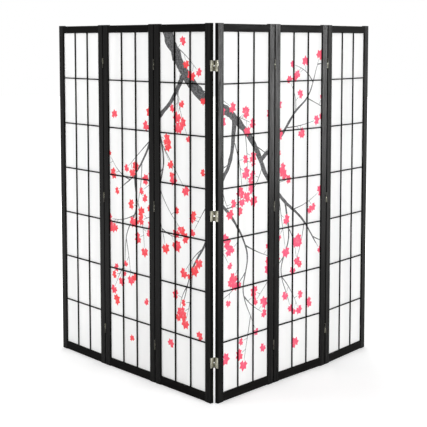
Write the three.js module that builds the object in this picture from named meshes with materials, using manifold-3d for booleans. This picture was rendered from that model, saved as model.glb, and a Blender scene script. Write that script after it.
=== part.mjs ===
// A free-standing shoji screen: six framed paper panels joined edge to edge by
// two-way screen hinges, set out as a V of two nearly straight wings.
// Millimetres, +Z up. The ridge of the V points to -Y and the wings recede to +Y.
import * as THREE from 'three';
import { mergeVertices } from 'three/addons/utils/BufferGeometryUtils.js';
import Module from 'manifold-3d';

const wasm = await Module();
wasm.setup();

// ---- driving dimensions -------------------------------------------------------------

// Panel frame
const panelWidth = 428;
const panelHeight = 1780;
const stileFace = 40;        // width of a stile, seen from the front
const frameDepth = 19;       // thickness of stiles and rails
const topRailFace = 37;
const bottomRailFace = 42;
const railDrop = 3;          // the stiles' horns stand this far above the top rail
const railLift = 2.5;        // the stiles are the feet: the bottom rail clears the floor by this
const arris = 1.4;           // radius of the eased edges
const endArris = 0.7;        // chamfer round the stiles' ends
const fitGap = 0.3;          // between pieces that touch
const overCut = 1;           // a cutting block reaches this far past the face that it cuts

// Frame joinery
const tenonThickness = 6.5;
const tenonLength = 26;
const haunch = 8;            // the tenon stays this far from both edges of its rail

// Lattice of slender bars in front of the paper
const columns = 3;
const rows = 7;
const barFace = 6;
const barDepth = 6;
const barArris = 0.7;
const latticeSetBack = 3;    // from the frame's front face to the bars' front face
const stubLength = 5;        // stub tenon at a bar's end
const stubFace = 4.4;
const stubDepth = 3.6;
const stubInset = 0.8;       // from a bar's front face to its stub tenon
const barRoot = 4;           // the upright bars are set this far into the bottom rail

// Paper
const paperThickness = 0.5;
const grooveDepth = 4;       // groove in the frame that holds the paper's edge

// Two-way hinge: each half is a leaf, a link plate and two barrels
const hingeHeight = 50;
const hingeInset = 195;      // from the panel's top or foot to the centre of the outer hinges
const leafThickness = 1.5;
const linkThickness = 1.5;
const leafPlay = 0.6;        // between the two halves in a straight seam
const barrelRadius = 1.8;
const barrelSides = 8;
const barrelClearance = 0.5; // from a barrel to the face of the frame
const knuckleGap = 6;        // between the upper and the lower barrels, where the pin shows
const pinRadius = 0.9;
const pinRoot = 1;           // how far the pin is set into its own barrel
const pinReach = 12;         // how far it runs into the other half's barrel
const pinPlay = 0.3;
const barrelSpacing = 0.15;  // keeps two idle barrels apart where panels lie folded

// Direction of each panel's width, seen from above, in degrees from +X
const headings = [-51.5, -50, -50, 50, 48.5, 54];

// ---- sizes that follow ---------------------------------------------------------------

const stileInner = panelWidth - stileFace;
const openingWidth = panelWidth - 2 * stileFace;
const openingFoot = railLift + bottomRailFace;
const openingHead = panelHeight - railDrop - topRailFace;
const latticeBack = latticeSetBack + barDepth;
const grooveFront = latticeBack;
const grooveBack = latticeBack + paperThickness + 2 * fitGap;
const seamGap = 2 * fitGap + 2 * leafThickness + linkThickness + leafPlay;
const axisProud = barrelClearance + barrelRadius;
const frontAxis = -axisProud;
const backAxis = frameDepth + axisProud;
const idleShift = barrelRadius + barrelSpacing;
const columnPitch = (openingWidth + barFace) / columns;
const rowPitch = (openingHead - openingFoot + barFace) / rows;

// Which axis each seam folds about: the panels fold like an accordion
const seams = [
  { left: 1, right: 2, axis: backAxis },
  { left: 2, right: 3, axis: frontAxis },
  { left: 3, right: 4, axis: backAxis },
  { left: 4, right: 5, axis: frontAxis },
  { left: 5, right: 6, axis: backAxis },
];
const hingeLevels = {
  top: panelHeight - hingeInset,
  middle: panelHeight / 2,
  bottom: hingeInset,
};

// ---- finishes ------------------------------------------------------------------------

const lacqueredWood = new THREE.MeshStandardMaterial({ color: 0x141313, roughness: 0.42, metalness: 0 });
const latticeWood = new THREE.MeshStandardMaterial({ color: 0x181716, roughness: 0.5, metalness: 0 });
const ricePaper = new THREE.MeshStandardMaterial({ color: 0xf6f4ee, roughness: 0.85, metalness: 0 });
const brass = new THREE.MeshStandardMaterial({ color: 0xc9a45c, roughness: 0.3, metalness: 1 });

// ---- solids --------------------------------------------------------------------------

function solid(geometry) {
  const bare = geometry.index ? geometry.toNonIndexed() : geometry.clone();
  bare.deleteAttribute('normal');
  bare.deleteAttribute('uv');
  const merged = mergeVertices(bare, 1e-5);
  return new wasm.Manifold(new wasm.Mesh({
    numProp: 3,
    vertProperties: new Float32Array(merged.attributes.position.array),
    triVerts: new Uint32Array(merged.index.array),
  }));
}

function geometryOf(manifold) {
  const mesh = manifold.getMesh();
  const geometry = new THREE.BufferGeometry();
  geometry.setAttribute('position', new THREE.BufferAttribute(mesh.vertProperties, 3));
  geometry.setIndex(new THREE.BufferAttribute(mesh.triVerts, 1));
  geometry.computeVertexNormals();
  return geometry;
}

// A box between two opposite corners
function block(low, high) {
  const size = high.map((value, i) => value - low[i]);
  const box = new THREE.BoxGeometry(...size);
  box.translate(...low.map((value, i) => value + size[i] / 2));
  return solid(box);
}

function union(pieces) {
  return pieces.reduce((whole, piece) => whole.add(piece));
}

function cut(body, tools) {
  return tools.reduce((rest, tool) => rest.subtract(tool), body);
}

// A rectangle with its four corners rounded, between two opposite corners
function easedRectangle(x0, y0, x1, y1, radius) {
  const shape = new THREE.Shape();
  shape.moveTo(x0 + radius, y0);
  shape.lineTo(x1 - radius, y0);
  shape.absarc(x1 - radius, y0 + radius, radius, -Math.PI / 2, 0);
  shape.lineTo(x1, y1 - radius);
  shape.absarc(x1 - radius, y1 - radius, radius, 0, Math.PI / 2);
  shape.lineTo(x0 + radius, y1);
  shape.absarc(x0 + radius, y1 - radius, radius, Math.PI / 2, Math.PI);
  shape.lineTo(x0, y0 + radius);
  shape.absarc(x0 + radius, y0 + radius, radius, Math.PI, Math.PI * 1.5);
  return shape;
}

// ---- frame ---------------------------------------------------------------------------

// The middle of the frame's depth holds the tenons
const tenonFront = (frameDepth - tenonThickness) / 2;
const tenonBack = tenonFront + tenonThickness;

function railLevels(which) {
  return which === 'top'
    ? [openingHead, panelHeight - railDrop]
    : [railLift, openingFoot];
}

// Heights of the level bars' centre lines, from the foot up
function barLevels() {
  return Array.from({ length: rows - 1 }, (_, i) => openingFoot - barFace / 2 + (i + 1) * rowPitch);
}

// Centre lines of the upright bars, from the left
function barPlaces() {
  return Array.from({ length: columns - 1 }, (_, i) => stileFace - barFace / 2 + (i + 1) * columnPitch);
}

const stubFront = latticeSetBack + stubInset;
const stubBack = stubFront + stubDepth;

// A stile standing at x = 0 with its inner edge at x = stileFace
function leftStile() {
  const section = easedRectangle(0, 0, stileFace, frameDepth, arris);
  const bar = new THREE.ExtrudeGeometry(section, {
    depth: panelHeight - 2 * endArris,
    bevelEnabled: true,
    bevelThickness: endArris,
    bevelSize: endArris,
    bevelOffset: -endArris,
    bevelSegments: 1,
    curveSegments: 2,
  });
  bar.translate(0, 0, endArris);
  const mortises = ['top', 'bottom'].map((which) => {
    const [low, high] = railLevels(which);
    return block(
      [stileFace - tenonLength - fitGap, tenonFront - fitGap, low + haunch - fitGap],
      [stileFace + overCut, tenonBack + fitGap, high - haunch + fitGap],
    );
  });
  const groove = block(
    [stileFace - grooveDepth, grooveFront, openingFoot - grooveDepth],
    [stileFace + overCut, grooveBack, openingHead + grooveDepth],
  );
  const sockets = barLevels().map((level) => block(
    [stileFace - stubLength - fitGap, stubFront - fitGap, level - stubFace / 2 - fitGap],
    [stileFace + overCut, stubBack + fitGap, level + stubFace / 2 + fitGap],
  ));
  return cut(solid(bar), [...mortises, groove, ...sockets]);
}

function rightStile() {
  return leftStile().mirror([1, 0, 0]).translate([panelWidth, 0, 0]);
}

// A rail between the stiles, with a haunched tenon at each end and the paper's groove
function railBody(which) {
  const [low, high] = railLevels(which);
  const section = easedRectangle(0, low, frameDepth, high, arris);
  const length = openingWidth - 2 * fitGap;
  const bar = new THREE.ExtrudeGeometry(section, { depth: length, bevelEnabled: false, curveSegments: 2 });
  // section x becomes depth, section y becomes height, the extrusion runs along the width
  const turn = new THREE.Matrix4().set(
    0, 0, 1, stileFace + fitGap,
    1, 0, 0, 0,
    0, 1, 0, 0,
    0, 0, 0, 1,
  );
  bar.applyMatrix4(turn);
  const tenon = block(
    [stileFace - tenonLength, tenonFront, low + haunch],
    [stileInner + tenonLength, tenonBack, high - haunch],
  );
  const grooveLow = which === 'top' ? low - overCut : high - grooveDepth;
  const groove = block(
    [stileFace, grooveFront, grooveLow],
    [stileInner, grooveBack, grooveLow + grooveDepth + overCut],
  );
  return solid(bar).add(tenon).subtract(groove);
}

function topRail() {
  const [low] = railLevels('top');
  const sockets = barPlaces().map((place) => block(
    [place - stubFace / 2 - fitGap, stubFront - fitGap, low - overCut],
    [place + stubFace / 2 + fitGap, stubBack + fitGap, low + stubLength + fitGap],
  ));
  return cut(railBody('top'), sockets);
}

// ---- lattice -------------------------------------------------------------------------

// A bar's section: its two front edges are eased. x across the face, y into the depth
function barSection() {
  const half = barFace / 2;
  const front = latticeSetBack;
  const shape = new THREE.Shape();
  shape.moveTo(-half, latticeBack);
  shape.lineTo(-half, front + barArris);
  shape.lineTo(-half + barArris, front);
  shape.lineTo(half - barArris, front);
  shape.lineTo(half, front + barArris);
  shape.lineTo(half, latticeBack);
  shape.closePath();
  return shape;
}

function uprightBar(place) {
  const foot = openingFoot - barRoot;
  const head = openingHead - fitGap;
  const bar = new THREE.ExtrudeGeometry(barSection(), { depth: head - foot, bevelEnabled: false });
  bar.translate(place, 0, foot);
  const stub = block(
    [place - stubFace / 2, stubFront, head - stubLength],
    [place + stubFace / 2, stubBack, openingHead + stubLength],
  );
  return solid(bar).add(stub);
}

function levelBar(level) {
  const start = stileFace + fitGap;
  const end = stileInner - fitGap;
  const bar = new THREE.ExtrudeGeometry(barSection(), { depth: end - start, bevelEnabled: false });
  const turn = new THREE.Matrix4().set(
    0, 0, 1, start,
    0, 1, 0, 0,
    -1, 0, 0, level,
    0, 0, 0, 1,
  );
  bar.applyMatrix4(turn);
  const stub = block(
    [stileFace - stubLength, stubFront, level - stubFace / 2],
    [stileInner + stubLength, stubBack, level + stubFace / 2],
  );
  return solid(bar).add(stub);
}

// The half-lapped bars are glued up with the bottom rail, whose top edge they stand on
function latticeAndBottomRail() {
  const bars = [...barPlaces().map(uprightBar), ...barLevels().map(levelBar)];
  return union([railBody('bottom'), ...bars]);
}

// ---- paper ---------------------------------------------------------------------------

function paperSheet() {
  const inGroove = grooveDepth - fitGap;
  return block(
    [stileFace - inGroove, latticeBack + fitGap, openingFoot - inGroove],
    [stileInner + inGroove, latticeBack + fitGap + paperThickness, openingHead + inGroove],
  );
}

// ---- two-way hinges --------------------------------------------------------------------

// A round bar on an upright axis at (x, y), between two heights
function upright(radius, x, y, low, high) {
  const bar = new THREE.CylinderGeometry(radius, radius, high - low, barrelSides);
  bar.rotateX(Math.PI / 2);
  bar.translate(x, y, (low + high) / 2);
  return solid(bar);
}

// The half on a left-hand panel's edge, for a seam that folds about the back axis.
// x = 0 is the middle of the seam, y = 0 the frame's front face, z = 0 mid-height.
// Its idle barrel is in front and above, its working barrel behind and below.
function hingeHalf(bored) {
  const half = hingeHeight / 2;
  const split = knuckleGap / 2;
  const leafBack = -seamGap / 2 + fitGap;
  const leafFront = leafBack + leafThickness;
  const outline = new THREE.Shape();
  outline.moveTo(frontAxis, split);
  outline.lineTo(fitGap, split);
  outline.lineTo(fitGap, -half);
  outline.lineTo(backAxis, -half);
  outline.lineTo(backAxis, -split);
  outline.lineTo(frameDepth - fitGap, -split);
  outline.lineTo(frameDepth - fitGap, half);
  outline.lineTo(frontAxis, half);
  outline.closePath();
  const plate = new THREE.ExtrudeGeometry(outline, { depth: leafThickness, bevelEnabled: false });
  // outline x becomes depth, outline y becomes height
  const turn = new THREE.Matrix4().set(
    0, 0, 1, leafBack,
    1, 0, 0, 0,
    0, 1, 0, 0,
    0, 0, 0, 1,
  );
  plate.applyMatrix4(turn);
  const link = block(
    [leafFront - leafThickness / 2, fitGap, split],
    [leafFront + linkThickness, frameDepth - fitGap, half],
  );
  const idle = upright(barrelRadius, -idleShift, frontAxis, split, half);
  const working = upright(barrelRadius, 0, backAxis, -half, -split);
  const whole = union([solid(plate), link, idle, working]);
  return bored
    ? whole.subtract(upright(pinRadius + pinPlay, 0, backAxis, -half - overCut, -split + overCut))
    : whole.add(upright(pinRadius, 0, backAxis, -split - pinRoot, split + pinReach));
}

// The right-hand half is the same piece turned over, and so is a half that folds about
// the front axis
function leftHalf(axis) {
  const half = hingeHalf(false);
  return axis === backAxis ? half : half.rotate([180, 0, 0]).translate([0, frameDepth, 0]);
}

function rightHalf(axis) {
  const half = hingeHalf(true).rotate([0, 180, 0]);
  return axis === backAxis ? half : half.rotate([180, 0, 0]).translate([0, frameDepth, 0]);
}

// ---- assembly ------------------------------------------------------------------------

const framePieces = [
  { name: 'left_stile', shape: geometryOf(leftStile()), material: lacqueredWood },
  { name: 'right_stile', shape: geometryOf(rightStile()), material: lacqueredWood },
  { name: 'top_rail', shape: geometryOf(topRail()), material: lacqueredWood },
  { name: 'lattice_and_bottom_rail', shape: geometryOf(latticeAndBottomRail()), material: latticeWood },
  { name: 'paper', shape: geometryOf(paperSheet()), material: ricePaper },
];

function panelOf(number) {
  const panel = new THREE.Group();
  for (const { name, shape, material } of framePieces) {
    const mesh = new THREE.Mesh(shape, material);
    mesh.name = `panel_${number}_${name}`;
    panel.add(mesh);
  }
  return panel;
}

function addHinges(panel, seam, side) {
  const shape = geometryOf(side === 'left' ? leftHalf(seam.axis) : rightHalf(seam.axis));
  const place = side === 'left' ? panelWidth + seamGap / 2 : -seamGap / 2;
  for (const [level, height] of Object.entries(hingeLevels)) {
    const mesh = new THREE.Mesh(shape, brass);
    mesh.name = `hinge_${seam.left}_${seam.right}_${level}_${side}_half`;
    mesh.position.set(place, 0, height);
    panel.add(mesh);
  }
}

const panels = headings.map((_, i) => panelOf(i + 1));
for (const seam of seams) {
  addHinges(panels[seam.left - 1], seam, 'left');
  addHinges(panels[seam.right - 1], seam, 'right');
}

// Hangs one panel on its neighbour at their seam's axis
function hang(child, parent) {
  const seam = seams[Math.min(child, parent) - 1];
  const onRight = child > parent;
  const inParent = onRight ? panelWidth + seamGap / 2 : -seamGap / 2;
  const inChild = onRight ? -seamGap / 2 : panelWidth + seamGap / 2;
  const pivot = new THREE.Group();
  pivot.position.set(inParent, seam.axis, 0);
  pivot.rotation.z = THREE.MathUtils.degToRad(headings[child - 1] - headings[parent - 1]);
  panels[child - 1].position.set(-inChild, -seam.axis, 0);
  pivot.add(panels[child - 1]);
  panels[parent - 1].add(pivot);
}

hang(2, 3);
hang(1, 2);
hang(4, 3);
hang(5, 4);
hang(6, 5);
panels[2].rotation.z = THREE.MathUtils.degToRad(headings[2]);

// The origin is on the floor, under the middle of the screen's box
const screen = new THREE.Group();
screen.add(panels[2]);
const reach = new THREE.Box3().setFromObject(screen, true);
screen.position.set(-(reach.min.x + reach.max.x) / 2, -(reach.min.y + reach.max.y) / 2, -reach.min.z);

export default screen;
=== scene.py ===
"""The looks of a six-panel shoji folding screen: black lacquered frames, lattices of
slender bars, printed paper and brass two-way hinges. Metres, in the frame of the
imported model."""
import math
import random

import bmesh
import bpy
import numpy as np
from mathutils import Matrix, Vector
from mathutils.geometry import delaunay_2d_cdt


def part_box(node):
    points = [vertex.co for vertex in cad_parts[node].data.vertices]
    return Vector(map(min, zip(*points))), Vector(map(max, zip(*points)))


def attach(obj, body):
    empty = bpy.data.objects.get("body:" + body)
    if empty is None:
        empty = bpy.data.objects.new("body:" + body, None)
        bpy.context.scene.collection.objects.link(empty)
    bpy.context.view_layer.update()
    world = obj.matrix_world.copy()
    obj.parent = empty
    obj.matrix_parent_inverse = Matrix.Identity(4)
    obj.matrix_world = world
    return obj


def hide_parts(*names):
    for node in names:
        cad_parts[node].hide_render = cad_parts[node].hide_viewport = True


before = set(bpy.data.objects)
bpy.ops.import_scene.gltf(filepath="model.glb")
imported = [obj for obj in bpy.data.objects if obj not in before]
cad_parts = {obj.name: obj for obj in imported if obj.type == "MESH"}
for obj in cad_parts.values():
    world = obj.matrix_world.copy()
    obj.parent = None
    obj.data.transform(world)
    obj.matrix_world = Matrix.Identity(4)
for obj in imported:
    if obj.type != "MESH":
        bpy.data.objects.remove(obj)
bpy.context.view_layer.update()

MM = 0.001
PANELS = range(1, 7)
HINGE_LEVELS = ("top", "middle", "bottom")

# ---- sizes of the screen's own pieces ----------------------------------------------------

COLUMNS = 3
ROWS = 7
BAR_FACE = 6 * MM
BAR_DEPTH = 6 * MM
BAR_SET_BACK = 3 * MM
BAR_EASE = 0.7 * MM
BAR_TENON = 2 * MM           # how far the bars run into the frame
LAP_STEP = 0.15 * MM         # the level bars stand this much proud where they lap the uprights
FRAME_PLAY = 0.3 * MM        # between a rail's end and the stile
ARRIS = 1.4 * MM             # rounding of the frame's edges
ARRIS_STEPS = 4

HINGE_HEIGHT = 50 * MM
LEAF_THICKNESS = 1.5 * MM
LINK_THICKNESS = 1.5 * MM
LEAF_SEAT = 0.3 * MM         # play between a leaf and the stile that it is screwed to
SEAM_GAP = 5.7 * MM
BARREL_RADIUS = 1.8 * MM
BARREL_PROUD = 2.3 * MM      # from the frame's face to a barrel's axis
KNUCKLE_GAP = 6 * MM
IDLE_SHIFT = 1.95 * MM
LEAF_CORNER = 1.5 * MM
PLATE_EASE = 0.2 * MM
KNUCKLES = 3
KNUCKLE_DIP = 0.25 * MM      # depth of the groove between two knuckles
PIN_RADIUS = 0.9 * MM
PIN_PLAY = 0.3 * MM
PIN_REACH = 12.3 * MM        # depth of the hole that takes the other half's pin
PIN_HEAD_RADIUS = 1.4 * MM
PIN_HEAD_RISE = 0.5 * MM
SCREW_RADIUS = 2.6 * MM
SCREW_RISE = 0.15 * MM       # the heads stand this much proud of the leaf
SCREW_SPOTS = (              # plate, part of the frame's depth, part of half the hinge's height
    ("leaf", 0.30, -0.72),
    ("leaf", 0.66, -0.36),
    ("link", 0.50, 0.62),
)


# ---- where each panel stands -------------------------------------------------------------

def corners(node):
    """A CAD node's vertices as rows of x, y, z."""
    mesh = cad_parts[node].data
    points = np.empty(len(mesh.vertices) * 3, np.float32)
    mesh.vertices.foreach_get("co", points)
    return points.reshape(-1, 3).astype(float)


def panel_place(number):
    """Turns panel coordinates into the row frame: x across the panel from its left edge,
    y from its front face to its back, z up from the floor."""
    sheet = np.unique(corners(f"panel_{number}_paper")[:, :2].round(5), axis=0)
    sheet = sheet[np.argsort(sheet[:, 0])]
    half = len(sheet) // 2
    across = Vector(sheet[half:].mean(0) - sheet[:half].mean(0)).normalized()
    back = Vector((-across.y, across.x))
    stile = corners(f"panel_{number}_left_stile")[:, :2]
    along, behind = (float((stile @ np.array(way)).min()) for way in (across, back))
    origin = across * along + back * behind
    return Matrix((
        (across.x, back.x, 0, origin.x),
        (across.y, back.y, 0, origin.y),
        (0, 0, 1, 0),
        (0, 0, 0, 1),
    ))


PLACES = {number: panel_place(number) for number in PANELS}


def span(number, piece):
    """The lowest and highest corner of a panel's CAD node, in panel coordinates."""
    inverse = np.array(PLACES[number].inverted())
    points = corners(f"panel_{number}_{piece}") @ inverse[:3, :3].T + inverse[:3, 3]
    return Vector(points.min(0)), Vector(points.max(0))


LEFT_STILE = span(1, "left_stile")
RIGHT_STILE = span(1, "right_stile")
TOP_RAIL = span(1, "top_rail")
LATTICE = span(1, "lattice_and_bottom_rail")
SHEET = span(1, "paper")

PANEL_WIDTH = RIGHT_STILE[1].x
FRAME_DEPTH = LEFT_STILE[1].y
STILE_FACE = LEFT_STILE[1].x
OPENING_HEAD = TOP_RAIL[0].z
RAIL_FOOT = LATTICE[0].z
BOTTOM_RAIL_FACE = 42 * MM
OPENING_FOOT = RAIL_FOOT + BOTTOM_RAIL_FACE
PANEL_PITCH = PANEL_WIDTH + SEAM_GAP


# ---- camera ------------------------------------------------------------------------------

CAMERA_LENS = 95.9
CAMERA_SENSOR = 36.0
CAMERA_SHIFT = (-0.0028, -0.135)
CAMERA_PLACE = (0.0048, -5.7125, 1.6906)
CAMERA_DIP = 5.69            # degrees below level


def add_camera():
    """Stands in front of the ridge at eye height and looks slightly down."""
    camera = bpy.data.cameras.new("camera")
    camera.lens = CAMERA_LENS
    camera.sensor_width = CAMERA_SENSOR
    camera.shift_x, camera.shift_y = CAMERA_SHIFT
    view = bpy.data.objects.new("camera", camera)
    view.location = CAMERA_PLACE
    view.rotation_euler = (math.radians(90 - CAMERA_DIP), 0, 0)
    bpy.context.scene.collection.objects.link(view)
    bpy.context.scene.camera = view


# ---- building blocks for node trees ------------------------------------------------------

def put(tree, kind, **settings):
    """Adds a node; settings are its properties, or its inputs where they are no property."""
    made = tree.nodes.new(kind)
    for name, value in settings.items():
        if hasattr(made, name):
            setattr(made, name, value)
        else:
            made.inputs[name.replace("_", " ").title()].default_value = value
    return made


def wire(tree, *pairs):
    """Links outputs to inputs, given as (node, output, node, input)."""
    for source, output, target, socket in pairs:
        tree.links.new(source.outputs[output], target.inputs[socket])


def math_node(tree, operation, a, b=None, c=None, clamp=False):
    """A Math node; a, b and c are numbers or sockets. Returns its output socket."""
    made = tree.nodes.new("ShaderNodeMath")
    made.operation = operation
    made.use_clamp = clamp
    for index, value in enumerate((a, b, c)):
        if value is None:
            continue
        if isinstance(value, bpy.types.NodeSocket):
            tree.links.new(value, made.inputs[index])
        else:
            made.inputs[index].default_value = value
    return made.outputs[0]


def ranged(tree, source, low, high, start=0.0, end=1.0):
    """A clamped Map Range of a socket, from low..high to start..end. Returns its output socket."""
    made = tree.nodes.new("ShaderNodeMapRange")
    for label, value in (("From Min", low), ("From Max", high), ("To Min", start), ("To Max", end)):
        made.inputs[label].default_value = value
    tree.links.new(source, made.inputs["Value"])
    return made.outputs[0]


def mix_colour(tree, factor, a, b):
    """A colour mix; factor, a and b are values or sockets. Returns its output socket."""
    made = tree.nodes.new("ShaderNodeMix")
    made.data_type = "RGBA"
    for socket, value in ((made.inputs[0], factor), (made.inputs[6], a), (made.inputs[7], b)):
        if isinstance(value, bpy.types.NodeSocket):
            tree.links.new(value, socket)
        else:
            socket.default_value = value
    return made.outputs[2]


def new_group(name, inputs, outputs):
    """A shader node group with named sockets, given as (name, socket type, default)."""
    group = bpy.data.node_groups.new(name, "ShaderNodeTree")
    for label, kind, default in inputs:
        socket = group.interface.new_socket(label, in_out="INPUT", socket_type=kind)
        if default is not None:
            socket.default_value = default
    for label, kind in outputs:
        group.interface.new_socket(label, in_out="OUTPUT", socket_type=kind)
    entry = group.nodes.new("NodeGroupInput")
    leave = group.nodes.new("NodeGroupOutput")
    return group, entry, leave


FLOAT = "NodeSocketFloat"
VECTOR = "NodeSocketVector"


def wood_grain_group():
    """Long streaks with fine open pores. Stretch gives the grain's direction: its
    smallest component lies along the grain."""
    group, entry, leave = new_group(
        "wood_grain",
        [("Vector", VECTOR, None), ("Stretch", VECTOR, (1, 1, 1)), ("Scale", FLOAT, 60.0),
         ("Wander", FLOAT, 0.6)],
        [("Streaks", FLOAT), ("Pores", FLOAT), ("Height", FLOAT)],
    )
    stretched = put(group, "ShaderNodeVectorMath", operation="MULTIPLY")
    wire(group, (entry, "Vector", stretched, 0), (entry, "Stretch", stretched, 1))
    broad = put(group, "ShaderNodeTexNoise", detail=3.0, roughness=0.55)
    fine = put(group, "ShaderNodeTexNoise", detail=6.0, roughness=0.7)
    fine_scale = math_node(group, "MULTIPLY", entry.outputs["Scale"], 5.5)
    wire(
        group,
        (stretched, 0, broad, "Vector"),
        (stretched, 0, fine, "Vector"),
        (entry, "Scale", broad, "Scale"),
        (entry, "Wander", broad, "Distortion"),
    )
    group.links.new(fine_scale, fine.inputs["Scale"])
    streaks = ranged(group, broad.outputs[0], 0.36, 0.68)
    pores = ranged(group, fine.outputs[0], 0.53, 0.70)
    height = math_node(group, "SUBTRACT", math_node(group, "MULTIPLY", streaks, 0.5), pores)
    for label, value in (("Streaks", streaks), ("Pores", pores), ("Height", height)):
        group.links.new(value, leave.inputs[label])
    return group


def unevenness_group():
    """A soft mottle and a fine speckle, for any finish that isn't perfectly even."""
    group, entry, leave = new_group(
        "unevenness",
        [("Vector", VECTOR, None), ("Mottle Scale", FLOAT, 6.0), ("Speckle Scale", FLOAT, 900.0)],
        [("Mottle", FLOAT), ("Speckle", FLOAT)],
    )
    mottle = put(group, "ShaderNodeTexNoise", detail=2.0, roughness=0.5)
    speckle = put(group, "ShaderNodeTexNoise", detail=2.0, roughness=0.6)
    wire(
        group,
        (entry, "Vector", mottle, "Vector"),
        (entry, "Vector", speckle, "Vector"),
        (entry, "Mottle Scale", mottle, "Scale"),
        (entry, "Speckle Scale", speckle, "Scale"),
        (mottle, 0, leave, "Mottle"),
        (speckle, 0, leave, "Speckle"),
    )
    return group


GRAIN = wood_grain_group()
UNEVEN = unevenness_group()


def material_base(name):
    """A new node material with its Principled shader and the Object coordinates."""
    material = bpy.data.materials.new(name)
    material.use_nodes = True
    tree = material.node_tree
    shader = tree.nodes["Principled BSDF"]
    where = tree.nodes.new("ShaderNodeTexCoord")
    return material, tree, shader, where


def place_group(tree, group, where, **values):
    """Places a shader group on the Object coordinates, with values for its named inputs."""
    made = tree.nodes.new("ShaderNodeGroup")
    made.node_tree = group
    tree.links.new(where.outputs["Object"], made.inputs["Vector"])
    for name, value in values.items():
        made.inputs[name.replace("_", " ").title()].default_value = value
    return made


def add_bump(tree, shader, height, strength, distance):
    """Bump on the shader's normal; distance is in metres."""
    bump = put(tree, "ShaderNodeBump")
    bump.inputs["Strength"].default_value = strength
    bump.inputs["Distance"].default_value = distance
    tree.links.new(height, bump.inputs["Height"])
    wire(tree, (bump, "Normal", shader, "Normal"))


# ---- materials ---------------------------------------------------------------------------

LACQUER_DEEP = (0.0030, 0.0029, 0.0029, 1)
LACQUER_STREAK = (0.034, 0.0305, 0.0265, 1)
PAPER_SMOOTH = (0.93, 0.93, 0.925, 1)
# the paper's colour in the painted shade of its folds
PAPER_FOLD_SHADE = (0.885, 0.885, 0.88, 1)
# the print's dark colours, also used faintly for the painted shadow of the bars on the paper's back
CHARCOAL_AND_BAR_SHADOW = (0.045, 0.045, 0.047, 1)
DRY_CHARCOAL_AND_BAR_SHADOW = (0.22, 0.22, 0.225, 1)
CORAL = (0.92, 0.052, 0.058, 1)
ROSE = (0.94, 0.095, 0.215, 1)
WASHED_OUT = (0.98, 0.30, 0.32, 1)
TARNISH = 0.62                       # how much of a metal's colour is left where it is tarnished

ALONG_Z = (1.0, 1.0, 0.035)          # grain that runs up a stile
ALONG_LEVEL = (0.05, 0.05, 1.0)      # grain that runs along a rail
EVERY_WAY = (0.4, 0.4, 0.4)


def black_lacquer(name, stretch, scale, roughness, gloss, shown):
    """Black satin lacquer over open-grained wood, whose grain shows through: shown is how
    much in colour, and roughness is (in the sealed wood, in the pores)."""
    material, tree, shader, where = material_base(name)
    grain = place_group(tree, GRAIN, where, stretch=stretch, scale=scale)
    uneven = place_group(tree, UNEVEN, where, mottle_scale=7.0, speckle_scale=700.0)
    streaks = math_node(tree, "MULTIPLY", grain.outputs["Streaks"], uneven.outputs["Mottle"])
    lifted = math_node(tree, "MULTIPLY_ADD", grain.outputs["Pores"], 0.35, streaks, clamp=True)
    showing = math_node(tree, "MULTIPLY", lifted, shown)
    tree.links.new(mix_colour(tree, showing, LACQUER_DEEP, LACQUER_STREAK), shader.inputs["Base Color"])
    uneven_sheen = math_node(tree, "ADD", grain.outputs["Pores"], grain.outputs["Streaks"])
    varied = math_node(tree, "MULTIPLY_ADD", uneven_sheen, roughness[1] - roughness[0], roughness[0])
    tree.links.new(varied, shader.inputs["Roughness"])
    shader.inputs["Specular IOR Level"].default_value = gloss
    add_bump(tree, shader, grain.outputs["Height"], 0.35, 0.0005)
    return material


def printed_paper():
    """Smooth paper with faint upright bands of painted shade where folds would shade it, and a
    printed design, read from the sheet's own attributes: how dark the print is (with a painted
    shadow of the bars on the back), how much leaf colour, and the leaf's tint."""
    material, tree, shader, where = material_base("printed_paper")
    uneven = place_group(tree, UNEVEN, where, mottle_scale=5.0, speckle_scale=1400.0)
    # upright bands of painted shade, where faint folds in the paper would shade it
    hang = put(tree, "ShaderNodeMapping")
    hang.inputs["Scale"].default_value = (1.0, 1.0, 0.12)
    folds = put(tree, "ShaderNodeTexNoise", detail=1.0)
    folds.inputs["Scale"].default_value = 11.0
    wire(tree, (where, "Object", hang, 0), (hang, 0, folds, "Vector"))
    fold_shade = ranged(tree, folds.outputs[0], 0.38, 0.66)
    paper = mix_colour(tree, fold_shade, PAPER_SMOOTH, PAPER_FOLD_SHADE)

    ink_and_bar_shadow = put(tree, "ShaderNodeAttribute", attribute_name="ink_and_bar_shadow")
    leaf = put(tree, "ShaderNodeAttribute", attribute_name="leaf")
    tint = put(tree, "ShaderNodeAttribute", attribute_name="tint")
    brush = put(tree, "ShaderNodeTexNoise", detail=8.0, roughness=0.75)
    brush.inputs["Scale"].default_value = 130.0
    wire(tree, (where, "Object", brush, "Vector"))
    dry = ranged(tree, brush.outputs[0], 0.42, 0.66)
    charcoal_and_bar_shadow = mix_colour(tree, dry, CHARCOAL_AND_BAR_SHADOW, DRY_CHARCOAL_AND_BAR_SHADOW)
    full = mix_colour(tree, tint.outputs["Fac"], CORAL, ROSE)
    pale = mix_colour(tree, 0.35, full, WASHED_OUT)
    wash = math_node(tree, "MULTIPLY", uneven.outputs["Mottle"], 0.5)
    leaves = mix_colour(tree, wash, full, pale)
    # the print's strokes, and on the back a faint painted shadow of the bars, in the same dark colour
    with_ink_and_bar_shadow = mix_colour(tree, ink_and_bar_shadow.outputs["Fac"], paper, charcoal_and_bar_shadow)
    finished = mix_colour(tree, leaf.outputs["Fac"], with_ink_and_bar_shadow, leaves)
    tree.links.new(finished, shader.inputs["Base Color"])
    shader.inputs["Roughness"].default_value = 0.82
    shader.inputs["Specular IOR Level"].default_value = 0.25
    add_bump(tree, shader, uneven.outputs["Speckle"], 0.12, 0.0002)
    return material


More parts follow.
